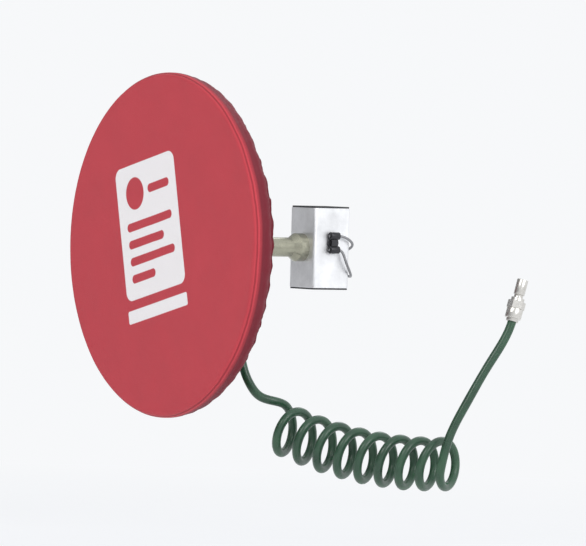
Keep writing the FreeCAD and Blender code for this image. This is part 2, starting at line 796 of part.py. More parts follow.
# Bail wire stations: x, then y and z from the pin axis.
BAIL_STATIONS = [
    # end in the upper lug
    (23.8, -5.6, 6.4), (23.8, -2.8, 6.4), (23.8, 0.0, 6.4), (23.8, 2.8, 6.4),
    # round the back edge and over the back face
    (23.85, 5.8, 6.38), (24.6, 13.0, 4.6), (22.8, 20.5, 0.2), (15.0, 25.0, -4.0),
    (0.0, 25.6, -8.0), (-11.0, 22.9, -11.5), (-16.0, 21.9, -18.0), (-11.0, 22.9, -24.5),
    (0.0, 25.6, -28.5), (15.0, 25.0, -31.0), (23.0, 19.0, -27.0), (25.4, 12.0, -16.0),
    # end in the lower lug
    (24.1, 6.2, -6.75), (23.8, 3.0, -6.4), (23.8, 0.0, -6.4), (23.8, -2.8, -6.4),
    (23.8, -5.6, -6.4),
]


def lock_bail():
    """Spring wire loop hooked into both lugs of the pin head."""
    points = [from_pin(*station) for station in BAIL_STATIONS]
    keep_shape("lock_bail", swept_rod(points, dim.bail_wire.value)[0])


# ---------------------------------------------------------------- vacuum line

BODY_RAD = 7.2        # elbow riser and arm
BORE_RAD = 2.6        # elbow air way
NUT_PLAY = 0.12       # plug nut and ferrule round the hose

port_y0 = Vector(dim.port_x.value, 0, dim.port_z.value)
knee_at = port_y0 + Y * dim.elbow_y.value
arm_dir = Vector(port_y0)       # the elbow's arm points away from the stem axis
arm_dir.normalize()
plug_base = Vector(286.0, 193.0, -46.0)
plug_dir = Vector(0.0, 0.28, 0.96)


def on_port(y):
    return port_y0 + Y * y


def on_arm(reach):
    return knee_at + arm_dir * reach


def on_plug(reach):
    return plug_base + plug_dir * reach


def port_seal():
    pad_y(new_body("port_seal"), "seal_ring", port_top, port_top + dim.seal_thk,
          circles=[(dim.port_x, dim.port_z, 8.5), (dim.port_x, dim.port_z, dim.port_rad + 0.1)])


def port_elbow():
    hex_high = 7.0
    riser_start = port_top + 7.0
    bore_start = 9.0        # y, in front of the shank
    seat_start = 9.0        # along the arm, where the hose stops
    shank = cylinder("elbow_shank", on_port(10.2), Y, dim.port_rad, length=9.0)
    hex_part = hex_prism("elbow_hex", on_port((port_top + dim.seal_thk).value), Y,
                         corner_rad=10.4, length=hex_high)
    riser = cylinder("elbow_riser", on_port(riser_start.value), Y,
                     BODY_RAD, dim.elbow_y - riser_start)
    knee = primitive("Sphere", "elbow_knee", knee_at, Radius=7.6)
    arm = cylinder("elbow_arm", knee_at, arm_dir, BODY_RAD, dim.elbow_len)
    solid = fuse("elbow_solid", [shank, hex_part, riser, knee, arm])
    keep_cut("port_elbow", solid, [
        cylinder("elbow_bore_v", on_port(bore_start), Y, BORE_RAD, dim.elbow_y - bore_start),
        cylinder("elbow_bore_h", knee_at, arm_dir, BORE_RAD, dim.elbow_len + CLEAR),
        cylinder("elbow_seat", on_arm(seat_start), arm_dir,
                 dim.hose_rad + 0.15, dim.elbow_len + CLEAR - seat_start),
        cylinder("elbow_ring_seat", on_arm(18.5), arm_dir, dim.hose_rad + 1.35, length=5.0)])


def release_ring():
    """Flanged collar round the hose at the elbow's mouth."""
    solid = fuse("release_solid", [
        cylinder("release_tube", on_arm(19.6), arm_dir, dim.hose_rad + 1.3, length=4.2),
        cylinder("release_rim", on_arm(23.0), arm_dir, dim.hose_rad + 2.9, length=1.6)])
    keep_cut("release_ring", solid, [
        cylinder("release_bore", on_arm(18.0), arm_dir, dim.hose_rad + 0.2, length=8.0)])


# Hose stations (x, y, z) from the elbow down to the coil, and from the coil to the plug.
LEAD_STATIONS = [
    (66.8, 44.8, -98.5), (71.5, 46.5, -112.0), (77.5, 50.0, -125.0), (84.0, 55.5, -134.0)]
TAIL_STATIONS = [(272.7, 133.3, -164.0), (277.0, 148.3, -132.0), (282.0, 168.8, -96.0)]


def coil_points():
    """Points of the stretched spiral, which sags as a parabola between its ends."""
    start, end = Vector(88.0, 70.0, -160.0), Vector(262.0, 147.5, -186.0)
    start_angle, mid_sag, steps_per_turn = 75.0, 11.0, 12
    radius, turns = dim.coil_rad.value, dim.coil_turns.value
    run = end - start
    span = run.Length
    run.normalize()
    across = run.cross(Z)
    across.normalize()
    lift = across.cross(run)
    steps = int(turns * steps_per_turn)
    points = []
    for k in range(1, steps + 1):
        share = k / float(steps)
        angle = math.radians(start_angle + 360.0 * turns * share)
        sag = -mid_sag * 4.0 * share * (1.0 - share)
        points.append(start + run * (span * share) + across * (radius * math.cos(angle))
                      + lift * (radius * math.sin(angle)) + Vector(0, 0, sag))
    return points


def hose():
    """Straight out of the elbow, down, then the spiral and a tail up to the plug."""
    radius = dim.hose_rad.value
    path = [on_arm(reach) for reach in (9.2, 16.0, 24.5)]
    path += [Vector(*station) for station in LEAD_STATIONS]
    path += coil_points()
    coil, coil_end_dir = swept_rod(path, radius, frenet=True)
    tail_path = [path[-1]] + [Vector(*station) for station in TAIL_STATIONS]
    tail_path += [on_plug(-14.0), on_plug(-1.0)]
    tail = swept_rod(tail_path, radius, start_dir=coil_end_dir, end_dir=plug_dir)[0]
    keep_shape("hose", coil.fuse(tail).removeSplitter())


def plug_nut():
    """Round nut and ferrule on the hose's free end."""
    bore_rad = dim.hose_rad + NUT_PLAY
    grip = cylinder("nut_round", on_plug(-9.0), plug_dir, radius=7.4, length=9.0)
    nut_bore = cylinder("nut_bore", on_plug(-9.5), plug_dir, bore_rad, length=9.0)
    ferrule = cylinder("nut_ferrule", on_plug(-12.0), plug_dir, dim.hose_rad + 1.6, length=3.0)
    ferrule_bore = cylinder("ferrule_bore", on_plug(-13.0), plug_dir, bore_rad, length=14.0)
    keep_cut("plug_nut", fuse("nut_solid", [grip, ferrule]), [nut_bore, ferrule_bore])


def hose_plug():
    solid = fuse("plug_solid", [
        hex_prism("plug_hex", plug_base, plug_dir, corner_rad=8.2, length=7.0),
        cylinder("plug_neck", on_plug(6.0), plug_dir, radius=4.0, length=8.0),
        cylinder("plug_shoulder", on_plug(7.0), plug_dir, radius=6.0, length=3.0),
        cylinder("plug_nose", on_plug(13.0), plug_dir, radius=5.0, length=14.0)])
    keep_cut("hose_plug", solid, [
        cylinder("plug_bore", on_plug(-1.0), plug_dir, radius=2.4, length=32.0)])


# --------------------------------------------------------------- fabric cover

def cover():
    """Shallow bag over the suction face, gathered to a hem behind the plate."""
    outer, front, skin = dim.cover_rad, dim.cover_front, dim.cover_thk
    rim = dim.cover_rim_rad
    hem, hem_y, hem_half = dim.hem_rad, dim.hem_y, 2.5
    turn(new_body("cover"), "cover_wall", [[
        # outside, from the stem axis to the hem
        (0, front), (outer - rim, front, rim), (outer, front + rim), (outer, 12.0),
        (outer - 2.5, 18.0), (hem + 4.5, hem_y + hem_half),
        (hem - hem_half, hem_y + hem_half), (hem - hem_half, hem_y - hem_half),
        # inside, back to the stem axis
        (hem + 3.5, hem_y - hem_half), (outer - 3.5, 17.3), (outer - skin, 11.8),
        (outer - skin, front + rim, -(rim - skin)), (outer - rim, front + skin),
        (0, front + skin)]],
        circles=[(hem, hem_y, dim.elastic_rad + 0.05)])


def cover_elastic():
    """Round cord in the hem."""
    cord = primitive("Torus", "cover_elastic", Vector(0, dim.hem_y.value, 0), Y,
                     Radius1=dim.hem_rad, Radius2=dim.elastic_rad)
    keep(cord, "cover_elastic")


# ----------------------------------------------------- build, check and export

for build in (
        backing_plate, sealing_lip, clamp_ring, clamp_screws, friction_pad, filter_disc,
        socket_housing, socket_cap, joint_screws, seat_front, seat_rear, ball_stud, dust_boot,
        barrel_tube, guide_bush, barrel_end_cap, end_cap_screws, stem_rod, rod_screw, rod_nut,
        piston_washer, suspension_spring, carrier_sleeve, slide_liners, lock_pin, lock_bail,
        port_seal, port_elbow, release_ring, hose, plug_nut, hose_plug, cover, cover_elastic):
    build()
doc.recompute()

for obj in doc.Objects:
    if "Invalid" in obj.State or "Error" in obj.State:
        raise RuntimeError("%s is %s" % (obj.Label, obj.State))
for obj in PARTS:
    if obj.Shape.isNull() or not obj.Shape.isValid() or not obj.Shape.Solids:
        raise RuntimeError("%s has no valid solid" % obj.Label)
for obj in PARTS:
    obj.Shape.exportStep(os.path.join("parts", obj.Label + ".step"))
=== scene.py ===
# Round cup with a sealing lip and a gathered fabric cover, on a ball-jointed, sprung
# stem with a coiled hose. The stem is the Y axis: the cup's face looks to -Y ("front"),
# the stem runs back to +Y, and Z is up. Shapes are laid out in millimetres and scaled
# to metres as the meshes are made; material, cloth, light and camera values are in metres.

import json
import math

import bmesh
import bpy
import numpy as np
from mathutils import Matrix, Vector


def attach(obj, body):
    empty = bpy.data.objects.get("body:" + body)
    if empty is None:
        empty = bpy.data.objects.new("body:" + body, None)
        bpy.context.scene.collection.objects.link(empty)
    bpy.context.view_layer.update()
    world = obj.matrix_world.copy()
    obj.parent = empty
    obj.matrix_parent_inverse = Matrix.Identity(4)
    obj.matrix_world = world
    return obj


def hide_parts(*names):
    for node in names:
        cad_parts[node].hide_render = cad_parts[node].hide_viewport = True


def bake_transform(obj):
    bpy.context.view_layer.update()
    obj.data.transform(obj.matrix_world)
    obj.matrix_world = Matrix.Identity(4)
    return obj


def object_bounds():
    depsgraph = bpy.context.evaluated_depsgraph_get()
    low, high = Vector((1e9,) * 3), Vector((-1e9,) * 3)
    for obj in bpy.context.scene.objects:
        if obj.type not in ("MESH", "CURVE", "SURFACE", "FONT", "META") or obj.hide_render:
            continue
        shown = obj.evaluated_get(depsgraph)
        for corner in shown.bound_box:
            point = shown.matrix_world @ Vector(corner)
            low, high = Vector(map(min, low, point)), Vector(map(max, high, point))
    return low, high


MM = 0.001

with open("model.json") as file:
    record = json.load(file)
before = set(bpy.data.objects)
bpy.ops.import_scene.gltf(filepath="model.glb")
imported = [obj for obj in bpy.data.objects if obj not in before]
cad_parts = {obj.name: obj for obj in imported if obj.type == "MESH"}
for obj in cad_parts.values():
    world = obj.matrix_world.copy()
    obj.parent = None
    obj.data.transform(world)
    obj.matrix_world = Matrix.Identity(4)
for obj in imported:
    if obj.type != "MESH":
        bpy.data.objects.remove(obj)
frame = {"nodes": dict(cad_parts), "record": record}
cad_low, cad_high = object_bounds()
nodes = frame["nodes"]
rng = np.random.default_rng(7)

# ------------------------------------------------------------ mesh helpers


def make_mesh(name, verts, faces, uv=None):
    """Smooth-shaded object from vertices in metres; uv has one row per vertex."""
    mesh = bpy.data.meshes.new(name)
    mesh.from_pydata([tuple(v) for v in verts], [], [tuple(f) for f in faces])
    if uv is not None:
        layer = mesh.uv_layers.new(name="flat")
        corner_vert = np.zeros(len(mesh.loops), np.int32)
        mesh.loops.foreach_get("vertex_index", corner_vert)
        layer.data.foreach_set("uv", np.asarray(uv, np.float32)[corner_vert].ravel())
    mesh.polygons.foreach_set("use_smooth", [True] * len(mesh.polygons))
    mesh.update()
    ob = bpy.data.objects.new(name, mesh)
    bpy.context.scene.collection.objects.link(ob)
    return ob


def read_points(mesh):
    points = np.zeros(len(mesh.vertices) * 3, np.float32)
    mesh.vertices.foreach_get("co", points)
    return points.reshape(-1, 3)


def grid_faces(rows, cols, closed_rows=False):
    """Quads of a rows x cols grid; the columns close into a ring."""
    faces = []
    for i in range(rows if closed_rows else rows - 1):
        this, after = i * cols, ((i + 1) % rows) * cols
        for j in range(cols):
            k = (j + 1) % cols
            faces.append((this + j, this + k, after + k, after + j))
    return faces


def circle_angles(count):
    return np.linspace(0, 2 * np.pi, count, endpoint=False)


def around_stem(radius, y, angles):
    """Points at the given angles about the Y axis."""
    return np.stack(np.broadcast_arrays(radius * np.cos(angles), y, radius * np.sin(angles)), 1)


def lathe(name, profile, cols, closed=True, ripple=None):
    """Piece turned about the stem; profile is (radius, y) in mm.

    ripple(radius, angles) gives small offsets in radius and y."""
    angles = circle_angles(cols)
    rings = []
    for radius, y in profile:
        if ripple is not None:
            d_radius, dy = ripple(radius, angles)
            radius, y = radius + d_radius, y + dy
        rings.append(around_stem(radius, y, angles))
    return make_mesh(name, np.concatenate(rings) * MM, grid_faces(len(profile), cols, closed))


def rounded(profile, radius, steps):
    """Closed (x, y) polygon with rounded corners; a third entry is that corner's radius."""
    points = []
    for i, corner in enumerate(profile):
        here = np.array(corner[:2], float)
        corner_r = corner[2] if len(corner) > 2 else radius
        back = np.array(profile[i - 1][:2], float) - here
        ahead = np.array(profile[(i + 1) % len(profile)][:2], float) - here
        back_len, ahead_len = np.linalg.norm(back), np.linalg.norm(ahead)
        back, ahead = back / back_len, ahead / ahead_len
        angle = math.acos(max(-1.0, min(1.0, float(back @ ahead))))
        cut = min(corner_r / max(math.tan(angle / 2), 1e-3), back_len * 0.45, ahead_len * 0.45)
        for k in range(steps + 1):
            t = k / steps
            q = ((1 - t) ** 2 * (here + back * cut) + 2 * t * (1 - t) * here
                 + t * t * (here + ahead * cut))
            points.append((float(q[0]), float(q[1])))
    return points


def spline(points, count):
    """Natural cubic spline through 3D points by chord length, sampled evenly."""
    p = np.array(points, float)
    chord = np.linalg.norm(np.diff(p, axis=0), axis=1)
    knots = np.concatenate([[0], np.cumsum(chord)])
    n = len(p)
    system = np.zeros((n, n))
    rhs = np.zeros((n, 3))
    system[0, 0] = system[-1, -1] = 1
    for i in range(1, n - 1):
        before, after = chord[i - 1], chord[i]
        system[i, i - 1:i + 2] = before, 2 * (before + after), after
        rhs[i] = 6 * ((p[i + 1] - p[i]) / after - (p[i] - p[i - 1]) / before)
    bend = np.linalg.solve(system, rhs)
    s = np.linspace(0, knots[-1], count)
    k = np.clip(np.searchsorted(knots, s, side="right") - 1, 0, n - 2)
    h, a, b = chord[k][:, None], (knots[k + 1] - s)[:, None], (s - knots[k])[:, None]
    return (bend[k] * a ** 3 / (6 * h) + bend[k + 1] * b ** 3 / (6 * h)
            + (p[k] / h - bend[k] * h / 6) * a + (p[k + 1] / h - bend[k + 1] * h / 6) * b)


def tube(name, path, radius, cols, wobble=None):
    """Capped round tube along path, its cross-section carried without twist.

    wobble(share of the path, angles) is added to the radius."""
    path = np.asarray(path, float)
    tangents = np.gradient(path, axis=0)
    tangents /= np.linalg.norm(tangents, axis=1)[:, None]
    across = np.cross(tangents[0], [0.0, 1.0, 0.3])
    across /= np.linalg.norm(across)
    angles = circle_angles(cols)
    last = len(path) - 1
    rings = []
    for i, (point, tangent) in enumerate(zip(path, tangents)):
        across = across - tangent * (across @ tangent)
        across /= np.linalg.norm(across)
        other = np.cross(tangent, across)
        r = radius if wobble is None else radius + wobble(i / last, angles)
        rings.append(point + (np.cos(angles) * r)[:, None] * across
                     + (np.sin(angles) * r)[:, None] * other)
    faces = grid_faces(len(path), cols)
    faces.append(tuple(range(cols))[::-1])
    faces.append(tuple(last * cols + k for k in range(cols)))
    return make_mesh(name, np.concatenate(rings) * MM, faces)


# -------------------------------------------------------- material helpers

BLACK, WHITE = (0, 0, 0), (1, 1, 1)
MID = (0.3, 0.7)            # the part of a noise's range that most of it falls in


def tone(color, gain, lift=0.0):
    return tuple(min(1.0, c * gain + lift) for c in color)


class Graph:
    """Builds nodes in a node tree, which it empties first."""

    def __init__(self, tree):
        self.tree = tree
        tree.nodes.clear()

    def node(self, kind):
        return self.tree.nodes.new("ShaderNode" + kind)

    def feed(self, socket, value):
        """Links a socket or sets a value; colours are given as RGB."""
        if isinstance(value, bpy.types.NodeSocket):
            self.tree.links.new(value, socket)
        elif socket.type == "RGBA":
            socket.default_value = (*value, 1.0)
        else:
            socket.default_value = value

    def remap(self, value, span, to=(0.0, 1.0), smooth=False):
        """Maps value from the range span to the range to."""
        n = self.node("MapRange")
        if smooth:
            n.interpolation_type = "SMOOTHSTEP"
        for socket, v in zip(n.inputs, (value, *span, *to)):
            self.feed(socket, v)
        return n.outputs[0]


class Mat(Graph):
    """A material round one Principled shader."""

    def __init__(self, name, rough, metallic=0.0):
        self.material = bpy.data.materials.new(name)
        self.material.use_nodes = True
        super().__init__(self.material.node_tree)
        self.output = self.node("OutputMaterial")
        self.bsdf = self.node("BsdfPrincipled")
        self.feed(self.output.inputs[0], self.bsdf.outputs[0])
        self.surface({"Metallic": metallic, "Roughness": rough})
        coords = self.node("TexCoord")
        self.co = coords.outputs["Object"]
        self.uv = coords.outputs["UV"]
        self.normal = coords.outputs["Normal"]
        self.bumps = []

    def surface(self, values):
        for key, value in values.items():
            self.feed(self.bsdf.inputs[key], value)

    def mapping(self, co=None, scale=(1, 1, 1), rot=(0, 0, 0), loc=(0, 0, 0)):
        n = self.node("Mapping")
        self.feed(n.inputs["Vector"], co or self.co)
        self.feed(n.inputs["Scale"], scale)
        self.feed(n.inputs["Rotation"], rot)
        self.feed(n.inputs["Location"], loc)
        return n.outputs[0]

    def noise(self, scale, detail, rough=0.55, co=None):
        n = self.node("TexNoise")
        self.feed(n.inputs["Vector"], co or self.co)
        self.feed(n.inputs["Scale"], scale)
        self.feed(n.inputs["Detail"], detail)
        self.feed(n.inputs["Roughness"], rough)
        return n.outputs[0]

    def voronoi(self, scale, co=None, feature="F1"):
        n = self.node("TexVoronoi")
        n.feature = feature
        self.feed(n.inputs["Vector"], co or self.co)
        self.feed(n.inputs["Scale"], scale)
        return n.outputs[0]

    def split(self, vector):
        n = self.node("SeparateXYZ")
        self.feed(n.inputs[0], vector)
        return n.outputs

    def math(self, op, a, b=0.0, clamp=False):
        n = self.node("Math")
        n.operation = op
        n.use_clamp = clamp
        self.feed(n.inputs[0], a)
        self.feed(n.inputs[1], b)
        return n.outputs[0]

    def add(self, a, b, clamp=False):
        return self.math("ADD", a, b, clamp)

    def sub(self, a, b):
        return self.math("SUBTRACT", a, b)

    def mul(self, a, b):
        return self.math("MULTIPLY", a, b)

    def larger(self, a, b, clamp=False):
        return self.math("MAXIMUM", a, b, clamp)

    def length(self, a, b):
        return self.math("SQRT", self.add(self.mul(a, a), self.mul(b, b)))

    def ramp(self, value, stops):
        """Colour ramp; stops are (position, RGB)."""
        n = self.node("ValToRGB")
        self.feed(n.inputs[0], value)
        elements = n.color_ramp.elements
        while len(elements) < len(stops):
            elements.new(0.5)
        for element, (position, color) in zip(elements, stops):
            element.position = position
            element.color = (*color, 1.0)
        return n.outputs[0]

    def mix(self, share, a, b):
        n = self.node("Mix")
        n.data_type = "RGBA"
        n.blend_type = "MIX"
        for index, value in ((0, share), (6, a), (7, b)):
            self.feed(n.inputs[index], value)
        return n.outputs[2]

    def bump(self, height, distance, strength):
        """Adds a bump layer; done() stacks the layers in order."""
        self.bumps.append((height, distance, strength))

    def done(self):
        normal = None
        for height, distance, strength in self.bumps:
            n = self.node("Bump")
            self.feed(n.inputs["Strength"], strength)
            self.feed(n.inputs["Distance"], distance)
            self.feed(n.inputs["Height"], height)
            if normal is not None:
                self.feed(n.inputs["Normal"], normal)
            normal = n.outputs[0]
        if normal is not None:
            self.surface({"Normal": normal})
        return self.material


# --------------------------------------------------------------- materials


def metal(name, base, rough, brush, spread, stain, grain_depth):
    """Machined or drawn metal: brushed grain, mottled roughness, fine scratches."""
    m = Mat(name, rough, metallic=1.0)
    grain = m.noise(scale=900.0, detail=3.0, co=m.mapping(scale=brush))
    cloud = m.noise(scale=38.0, detail=5.0, rough=0.6)
    color = m.ramp(cloud, [(0.30, tone(base, gain=0.80)), (0.70, tone(base, gain=1.08))])
    edges = m.voronoi(scale=55.0, feature="DISTANCE_TO_EDGE",
                      co=m.mapping(scale=(1.0, 9.0, 1.3), rot=(0.5, 0.35, 0.7)))
    scratch = m.remap(edges, span=(0.0, 0.012), to=(1.0, 0.0))
    color = m.mix(m.mul(scratch, 0.25), color, tone(base, gain=1.25))
    if stain:
        spots = m.ramp(m.noise(scale=95.0, detail=6.0, rough=0.7), [(0.52, BLACK), (0.68, WHITE)])
        color = m.mix(m.mul(spots, stain), color, tone(base, gain=0.45))
    mottle = m.add(m.remap(cloud, span=MID, to=(rough - spread, rough + spread)),
                   m.remap(grain, span=MID, to=(-0.05, 0.05)), clamp=True)
    m.surface({"Base Color": color, "Roughness": mottle})
    m.bump(grain, distance=grain_depth, strength=0.7)
    m.bump(scratch, distance=-0.00002, strength=0.4)
    return m.done()


def rubber(name, base, rough, bloom, depth):
    """Moulded rubber: fine pebble, pale bloom in patches."""
    m = Mat(name, rough)
    cloud = m.noise(scale=26.0, detail=6.0, rough=0.62)
    pebble = m.noise(scale=700.0, detail=4.0)
    patches = m.mul(m.ramp(cloud, [(0.45, BLACK), (0.75, WHITE)]), bloom)
    m.surface({"Base Color": m.mix(patches, base, tone(base, gain=2.4, lift=0.02)),
               "Roughness": m.remap(cloud, span=MID, to=(rough - 0.1, rough + 0.12))})
    m.bump(pebble, distance=depth, strength=0.5)
    m.bump(cloud, distance=depth * 3, strength=0.3)
    return m.done()


def plastic(name, base, rough, coat):
    m = Mat(name, rough)
    cloud = m.noise(scale=30.0, detail=5.0)
    cells = m.voronoi(scale=350.0)
    color = m.ramp(cloud, [(0.3, tone(base, gain=0.86)), (0.7, tone(base, gain=1.08))])
    m.surface({"Base Color": color,
               "Roughness": m.remap(cloud, span=MID, to=(rough - 0.07, rough + 0.09)),
               "Coat Weight": coat})
    m.bump(cells, distance=0.00006, strength=0.5)
    return m.done()


def hose_material():
    m = Mat("m_hose_pu", rough=0.34)
    cloud = m.noise(scale=45.0, detail=4.0)
    streak = m.noise(scale=420.0, detail=2.0, co=m.mapping(scale=(1, 1, 0.15)))
    green = m.ramp(cloud, [(0.25, (0.012, 0.046, 0.024)), (0.55, (0.020, 0.072, 0.036)),
                           (0.8, (0.036, 0.105, 0.052))])
    m.surface({"Base Color": green,
               "Roughness": m.remap(cloud, span=MID, to=(0.26, 0.46)),
               "Subsurface Weight": 0.15,
               "Subsurface Radius": (0.001, 0.003, 0.0015),
               "Coat Weight": 0.15})
    m.bump(streak, distance=0.00004, strength=0.5)
    return m.done()


def cord_material():
    m = Mat("m_elastic", rough=0.85)
    braid = m.voronoi(scale=900.0)
    m.surface({"Base Color": m.ramp(braid, [(0.1, (0.02, 0.018, 0.018)),
                                            (0.7, (0.09, 0.06, 0.06))])})
    m.bump(braid, distance=0.0003, strength=0.8)
    return m.done()


# The cover's UVs are millimetres on its flat pattern, from the centre of the face.
# Label shapes: centre x, centre y, half width, half height, corner radius
LABEL_PANEL = (0.0, 12.0, 50.0, 62.0, 9.0)
LABEL_BAR = (0.0, -65.0, 50.0, 6.0, 2.0)
LABEL_CUTS = [(20.0, 47.0, 18.0, 4.0, 4.0), (0.0, 17.0, 38.0, 4.0, 4.0),
              (-8.0, 1.0, 30.0, 4.0, 4.0), (0.0, -15.0, 38.0, 4.0, 4.0),
              (-18.0, -31.0, 20.0, 4.0, 4.0)]
LABEL_DOT = (-20.0, 47.0, 15.0)         # centre x, centre y, radius
LABEL_TURN = math.radians(-13.0)
LABEL_SHIFT = (14.5, -8.5, 0)
EDGE_BLUR = 0.35                        # half width of a printed edge's fade

# Painted shade: the dark red that the rim's outer band and the whole hem are mixed towards, and
# how much of it is mixed in
RIM_SHADE_RED = (0.135, 0.005, 0.016)
RIM_SHADE_SHARE = 0.93


def label_mask(m, x, y):
    """A rounded panel with a dot and bars cut out of it, and one bar below it."""

    def box(center_x, center_y, half_w, half_h, r):
        dx = m.sub(m.math("ABSOLUTE", m.sub(x, center_x)), half_w - r)
        dy = m.sub(m.math("ABSOLUTE", m.sub(y, center_y)), half_h - r)
        outside = m.length(m.larger(dx, 0.0), m.larger(dy, 0.0))
        inside = m.math("MINIMUM", m.larger(dx, dy), 0.0)
        return m.sub(m.add(outside, inside), r)

    def disc(center_x, center_y, r):
        return m.sub(m.length(m.sub(x, center_x), m.sub(y, center_y)), r)

    def fill(distance):
        return m.remap(distance, span=(-EDGE_BLUR, EDGE_BLUR), to=(1.0, 0.0))

    panel = fill(box(*LABEL_PANEL))
    dot = fill(disc(*LABEL_DOT))
    cuts = [fill(box(*cut)) for cut in LABEL_CUTS]
    holes = m.larger(m.larger(dot, cuts[0]),
                     m.larger(m.larger(cuts[1], cuts[2]), m.larger(cuts[3], cuts[4])))
    bar = fill(box(*LABEL_BAR))
    return m.larger(m.mul(panel, m.sub(1.0, holes)), bar, clamp=True)


def add_rim_shade_and_seam(m, u, v, red):
    """Painted shade as a dark outer band over the rim's rear and skirt, with a dashed line of
    thread, and a seam just inside it.
    """
    thread_r = 162.6
    stitch_rate = 300.0 / 6.283185          # 300 stitches to a turn
    flat_r = m.length(u, v)
    # painted shade: fabric past the rim's bend is mixed towards dark red
    painted_shade_band = m.remap(flat_r, span=(161.5, 165.5))
    red = m.mix(m.mul(painted_shade_band, RIM_SHADE_SHARE), red, RIM_SHADE_RED)
    turn = m.mul(m.math("ARCTAN2", v, u), stitch_rate)
    # adding 300 keeps the angle positive for FRACT
    from_middle = m.math("ABSOLUTE", m.sub(m.math("FRACT", m.add(turn, 300.0)), 0.5))
    dash = m.remap(from_middle, span=(0.30, 0.36), to=(1.0, 0.0))
    line = m.remap(m.math("ABSOLUTE", m.sub(flat_r, thread_r)), span=(0.22, 0.38), to=(1.0, 0.0))
    thread = m.mul(dash, line)
    red = m.mix(m.mul(thread, 0.8), red, (0.36, 0.03, 0.045))
    m.bump(thread, distance=0.0003, strength=0.8)
    m.bump(m.sub(line, thread), distance=-0.0002, strength=0.6)
    seam = m.mul(m.remap(flat_r, span=(158.6, 159.2)),
                 m.remap(flat_r, span=(159.8, 160.4), to=(1.0, 0.0)))
    red = m.mix(m.mul(seam, 0.5), red, (0.16, 0.006, 0.014))
    m.bump(seam, distance=-0.0006, strength=0.8)
    return red


def add_label(m, red, rough, cloud):
    """Pale, slightly worn ink, printed on the outer (-Y) side only."""
    turned = m.mapping(m.uv, rot=(0, 0, LABEL_TURN))
    x, y, _ = m.split(m.mapping(turned, loc=LABEL_SHIFT))
    mask = label_mask(m, x, y)
    worn = m.ramp(m.noise(scale=0.35, detail=6.0, rough=0.75, co=m.uv),
                  [(0.60, WHITE), (0.80, (0.82, 0.82, 0.82))])
    outside = m.math("LESS_THAN", m.split(m.normal)[1], 0.0)
    mask = m.mul(m.mul(mask, worn), outside)
    ink = m.mix(m.mul(cloud, 0.25), (0.93, 0.91, 0.92), (0.84, 0.79, 0.80))
    red = m.mix(mask, red, ink)
    rough = m.sub(rough, m.mul(mask, 0.12))
    m.bump(mask, distance=0.00015, strength=0.5)
    return red, rough


def cover_material(name, printed):
    """Woven red fabric; the hem's copy is plain, and painted shade darkens it all over."""
    m = Mat(name, rough=0.62)
    weave_rate = 6.28318 / 0.9              # threads every 0.9 mm
    u, v, _ = m.split(m.uv)
    warp = m.math("SINE", m.mul(u, weave_rate))
    weft = m.math("SINE", m.mul(v, weave_rate))
    weave = m.mul(warp, weft)
    slub = m.noise(scale=0.5, detail=3.0, co=m.mapping(m.uv, scale=(1, 0.12, 1)))
    cloud = m.noise(scale=0.022, detail=5.0, rough=0.6, co=m.uv)
    red = m.ramp(cloud, [(0.25, (0.515, 0.046, 0.064)), (0.55, (0.555, 0.053, 0.072)),
                         (0.85, (0.59, 0.062, 0.082))])
    red = m.mix(m.mul(m.remap(weave, span=(-1.0, 1.0)), 0.16), red, (0.27, 0.012, 0.022))
    red = m.mix(m.mul(slub, 0.18), red, (0.62, 0.08, 0.10))
    rough = m.remap(cloud, span=MID, to=(0.56, 0.72))
    if printed:
        red = add_rim_shade_and_seam(m, u, v, red)
        red, rough = add_label(m, red, rough, cloud)
    else:
        # painted shade: the hem's copy is mixed towards dark red all over
        red = m.mix(RIM_SHADE_SHARE, red, RIM_SHADE_RED)
    m.surface({"Base Color": red,
               "Roughness": rough,
               "Sheen Weight": 0.07,
               "Specular IOR Level": 0.28,
               "Sheen Roughness": 0.5,
               "Sheen Tint": (1.0, 0.75, 0.78)})
    m.bump(weave, distance=0.00010, strength=0.55)
    m.bump(slub, distance=0.00025, strength=0.45)
    m.bump(cloud, distance=0.0010, strength=0.25)
    return m.done()


# slot: base colour, roughness, grain scale by axis, roughness spread, stain, grain depth
METALS = {
    "plate_alloy": ((0.60, 0.61, 0.62), 0.42, (1, 8, 1), 0.06, 0.15, 0.00002),
    "carrier_alloy": ((0.90, 0.905, 0.92), 0.48, (1, 1, 0.06), 0.05, 0.06, 0.00003),
    "barrel_alloy": ((0.52, 0.53, 0.55), 0.34, (1, 0.3, 1), 0.05, 0.0, 0.00002),
    "rod_steel": ((0.40, 0.395, 0.31), 0.26, (1, 12, 1), 0.06, 0.18, 0.00002),
    "zinc_steel": ((0.62, 0.63, 0.64), 0.36, (1, 1, 1), 0.08, 0.25, 0.00002),
    "black_steel": ((0.065, 0.065, 0.07), 0.42, (1, 1, 1), 0.08, 0.2, 0.00002),
    "spring_steel": ((0.30, 0.30, 0.31), 0.33, (1, 1, 1), 0.05, 0.1, 0.00001),
    "bronze": ((0.62, 0.40, 0.20), 0.38, (1, 6, 1), 0.06, 0.3, 0.00002),
    "nickel": ((0.72, 0.70, 0.66), 0.22, (1, 1, 1), 0.06, 0.12, 0.00002),
    "filter_sinter": ((0.50, 0.38, 0.22), 0.6, (1, 1, 1), 0.08, 0.4, 0.0002),
}
# slot: base colour, roughness, bloom, pebble depth
RUBBERS = {
    "lip_rubber": ((0.028, 0.028, 0.030), 0.7, 0.35, 0.0001),
    "pad_rubber": ((0.045, 0.045, 0.050), 0.78, 0.35, 0.0001),
    "boot_rubber": ((0.022, 0.022, 0.024), 0.58, 0.25, 0.00008),
}
# slot: base colour, roughness, clear coat
PLASTICS = {
    "bearing_plastic": ((0.80, 0.78, 0.72), 0.45, 0.0),
    "black_plastic": ((0.03, 0.03, 0.033), 0.45, 0.0),
    "blue_plastic": ((0.04, 0.13, 0.40), 0.3, 0.3),
}

